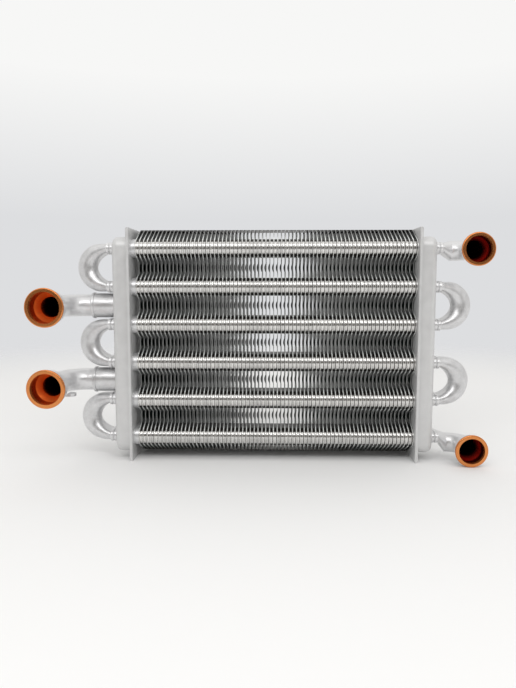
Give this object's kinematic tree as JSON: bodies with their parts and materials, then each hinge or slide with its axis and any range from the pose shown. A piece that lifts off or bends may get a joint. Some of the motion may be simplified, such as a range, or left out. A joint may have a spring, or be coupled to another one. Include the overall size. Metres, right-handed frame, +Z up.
{
  "type": "boiler heat exchanger",
  "caption": "Finned dual-circuit boiler heat exchanger: oval tubes through a fin pack between two end plates, header caps, return bends and forward pipe sockets.",
  "frame": {"origin": "on the floor, below the middle of the whole width and of the whole depth, in the plane of the tube axes", "axes": "+X along the tubes, from the heating sockets to the water sockets; the sockets open towards -Y; +Z up, across the rows of tubes"},
  "size_m": [0.3586, 0.105, 0.19],
  "materials": {
    "fin_coating": "thin aluminium heat coating on copper fins",
    "tube_paint": "satin aluminium heat paint on copper pipe",
    "casing_paint": "matt aluminium heat paint on pressed copper sheet",
    "bare_copper": "bare copper, heat tinted"
  },
  "bodies": {
    "root": {"ferrule_left_1": "tube_paint", "ferrule_left_2": "tube_paint", "ferrule_left_3": "tube_paint", "ferrule_left_4": "tube_paint", "ferrule_left_5": "tube_paint", "ferrule_left_6": "tube_paint", "ferrule_right_1": "tube_paint", "ferrule_right_2": "tube_paint", "ferrule_right_3": "tube_paint", "ferrule_right_4": "tube_paint", "ferrule_right_5": "tube_paint", "ferrule_right_6": "tube_paint", "fin_pack": "fin_coating", "flow_elbow": "tube_paint", "flow_stub": "tube_paint", "header_divider": "bare_copper", "heating_tube_1": "tube_paint", "heating_tube_2": "tube_paint", "heating_tube_3": "tube_paint", "heating_tube_4": "tube_paint", "heating_tube_5": "tube_paint", "heating_tube_6": "tube_paint", "left_end_plate": "casing_paint", "left_header_cap": "casing_paint", "locating_tab": "tube_paint", "return_elbow": "tube_paint", "return_stub": "tube_paint", "right_end_plate": "casing_paint", "right_header_cap": "casing_paint", "water_bend_left_1": "tube_paint", "water_bend_left_2": "tube_paint", "water_bend_left_3": "tube_paint", "water_bend_right_1": "tube_paint", "water_bend_right_2": "tube_paint", "water_inlet_elbow": "tube_paint", "water_outlet_elbow": "tube_paint", "water_tube_1": "bare_copper", "water_tube_2": "bare_copper", "water_tube_3": "bare_copper", "water_tube_4": "bare_copper", "water_tube_5": "bare_copper", "water_tube_6": "bare_copper"}
  },
  "joints": []
}
